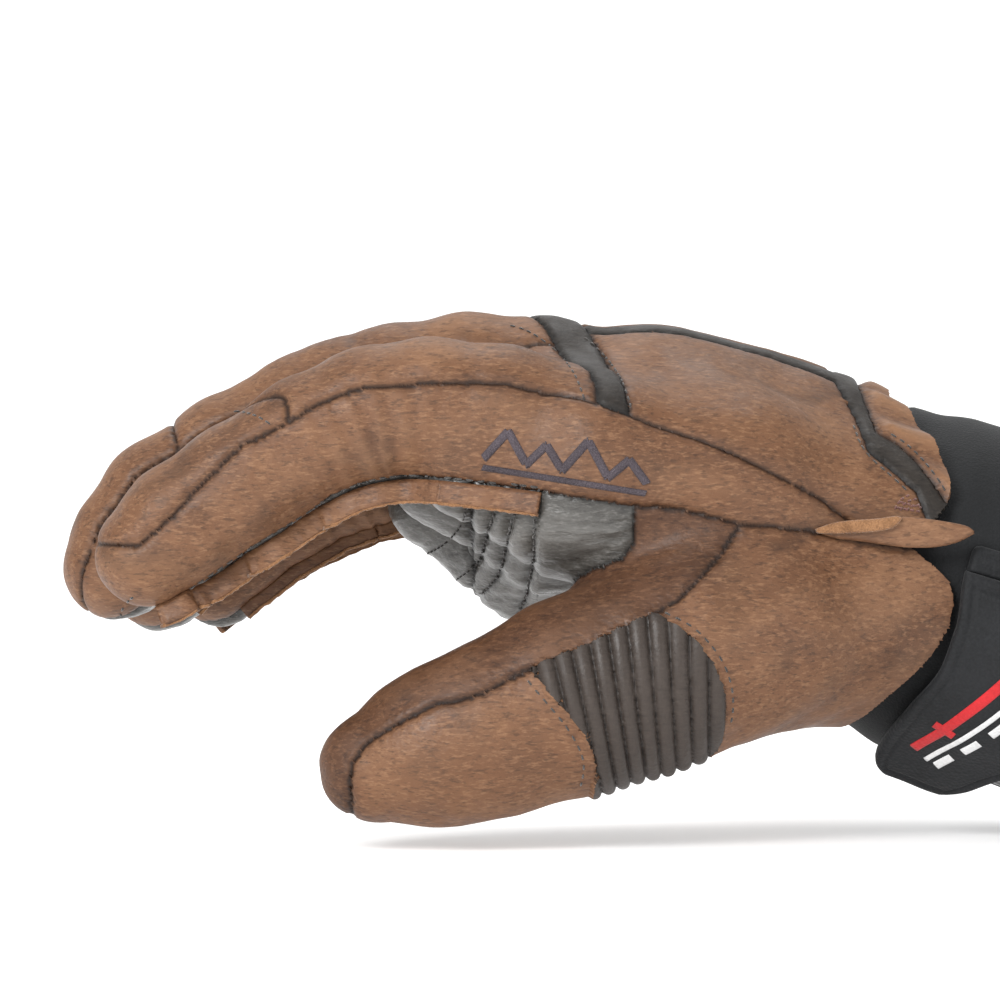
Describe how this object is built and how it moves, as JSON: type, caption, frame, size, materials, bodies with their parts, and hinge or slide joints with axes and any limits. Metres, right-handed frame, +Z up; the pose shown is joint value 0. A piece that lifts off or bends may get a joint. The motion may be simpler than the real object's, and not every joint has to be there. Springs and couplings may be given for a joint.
{
  "type": "insulated leather glove",
  "caption": "Right-hand insulated leather glove in a half-closed pose, with jointed fingers and thumb, a ribbed thumb panel, a neoprene cuff, a hook-and-loop wrist strap and a pull tab.",
  "frame": {"origin": "centre of the cuff's mouth", "axes": "+Z up from the back of the hand, +X out of the cuff along the forearm, -Y the index and thumb side"},
  "size_m": [0.2658, 0.1189, 0.1165],
  "materials": {
    "tan_leather": "matte",
    "dark_leather": "matte",
    "grey_leather": "satin",
    "neoprene": "matte",
    "insulated_lining": "matte",
    "elastic_tape": "matte",
    "hook_and_loop": "matte",
    "printed_patch": "satin"
  },
  "bodies": {
    "hand": {"side_panel": "tan_leather", "knuckle_strip": "dark_leather", "wrist_strip": "dark_leather", "back_panel": "tan_leather", "outer_back_panel": "tan_leather", "heel_panel": "tan_leather", "palm_panel": "grey_leather", "palm_patch": "grey_leather", "hand_lining": "insulated_lining", "thenar_panel": "tan_leather", "thenar_lining": "insulated_lining", "cuff": "neoprene", "cuff_lining": "insulated_lining", "cuff_binding": "elastic_tape", "wrist_elastic": "elastic_tape", "loop_field": "hook_and_loop", "strap_anchor": "neoprene", "gather_panel": "tan_leather"},
    "index_base": {"index_back": "tan_leather", "index_gussets": "tan_leather", "index_palm_side": "grey_leather", "index_sleeve": "insulated_lining"},
    "index_end": {"index_mid_back": "tan_leather", "index_mid_under": "tan_leather", "index_cap": "tan_leather", "index_tip_sleeve": "insulated_lining"},
    "middle_base": {"middle_back": "tan_leather", "middle_gussets": "tan_leather", "middle_palm_side": "grey_leather", "middle_sleeve": "insulated_lining"},
    "middle_end": {"middle_mid_back": "tan_leather", "middle_mid_under": "tan_leather", "middle_cap": "tan_leather", "middle_tip_sleeve": "insulated_lining"},
    "ring_base": {"ring_back": "tan_leather", "ring_gussets": "tan_leather", "ring_palm_side": "grey_leather", "ring_sleeve": "insulated_lining"},
    "ring_end": {"ring_mid_back": "tan_leather", "ring_mid_under": "tan_leather", "ring_cap": "tan_leather", "ring_tip_sleeve": "insulated_lining"},
    "little_base": {"little_back": "tan_leather", "little_gussets": "tan_leather", "little_palm_side": "grey_leather", "little_sleeve": "insulated_lining"},
    "little_end": {"little_mid_back": "tan_leather", "little_mid_under": "tan_leather", "little_cap": "tan_leather", "little_tip_sleeve": "insulated_lining"},
    "thumb_base": {"thumb_rib_panel": "dark_leather", "thumb_palm_side": "tan_leather", "thumb_sleeve": "insulated_lining"},
    "thumb_end": {"thumb_tip_panel": "tan_leather", "thumb_tip_palm_side": "tan_leather", "thumb_tip_sleeve": "insulated_lining"},
    "strap": {"strap": "neoprene", "strap_hook": "hook_and_loop", "strap_badge": "printed_patch"},
    "pull_tab": {"pull_tab": "tan_leather"}
  },
  "joints": [
    {"name": "index_knuckle", "type": "hinge", "parent": "hand", "child": "index_base", "pos_m": [-0.132, -0.04, 0.0469], "axis": [0, -1, 0], "range_deg": [-20, 18], "stiffness_Nm_per_rad": 0.3},
    {"name": "index_middle_joint", "type": "hinge", "parent": "index_base", "child": "index_end", "pos_m": [-0.1806, -0.04, 0.0548], "axis": [0, -1, 0], "range_deg": [-25, 20], "stiffness_Nm_per_rad": 0.2},
    {"name": "middle_knuckle", "type": "hinge", "parent": "hand", "child": "middle_base", "pos_m": [-0.138, -0.0135, 0.0623], "axis": [0, -1, 0], "range_deg": [-20, 20], "stiffness_Nm_per_rad": 0.3},
    {"name": "middle_middle_joint", "type": "hinge", "parent": "middle_base", "child": "middle_end", "pos_m": [-0.19, -0.0135, 0.0582], "axis": [0, -1, 0], "range_deg": [-25, 24], "stiffness_Nm_per_rad": 0.2},
    {"name": "ring_knuckle", "type": "hinge", "parent": "hand", "child": "ring_base", "pos_m": [-0.138, 0.013, 0.0545], "axis": [0, -1, 0], "range_deg": [-20, 26], "stiffness_Nm_per_rad": 0.3},
    {"name": "ring_middle_joint", "type": "hinge", "parent": "ring_base", "child": "ring_end", "pos_m": [-0.189, 0.013, 0.0495], "axis": [0, -1, 0], "range_deg": [-25, 30], "stiffness_Nm_per_rad": 0.2},
    {"name": "little_knuckle", "type": "hinge", "parent": "hand", "child": "little_base", "pos_m": [-0.134, 0.0377, 0.0355], "axis": [0, -1, 0], "range_deg": [-20, 26], "stiffness_Nm_per_rad": 0.3},
    {"name": "little_middle_joint", "type": "hinge", "parent": "little_base", "child": "little_end", "pos_m": [-0.185, 0.0377, 0.0394], "axis": [0, -1, 0], "range_deg": [-25, 30], "stiffness_Nm_per_rad": 0.2},
    {"name": "thumb_root", "type": "hinge", "parent": "hand", "child": "thumb_base", "pos_m": [-0.1, -0.042, 0.0037], "axis": [0, -1, 0], "range_deg": [-6, 22], "stiffness_Nm_per_rad": 0.4},
    {"name": "thumb_end_joint", "type": "hinge", "parent": "thumb_base", "child": "thumb_end", "pos_m": [-0.1274, -0.0515, -0.0065], "axis": [0.2422, 0.6037, -0.7595], "range_deg": [-10, 18], "stiffness_Nm_per_rad": 0.25},
    {"name": "strap_hinge", "type": "hinge", "parent": "hand", "child": "strap", "pos_m": [-0.02953, -0.0432, 0.01457], "axis": [-0.9569, 0.0443, 0.2869], "range_deg": [0, 70]},
    {"name": "pull_tab_fold", "type": "hinge", "parent": "hand", "child": "pull_tab", "pos_m": [-0.0817, -0.0469, 0.029], "axis": [0, 0, -1], "range_deg": [0, 60], "stiffness_Nm_per_rad": 0.05}
  ]
}
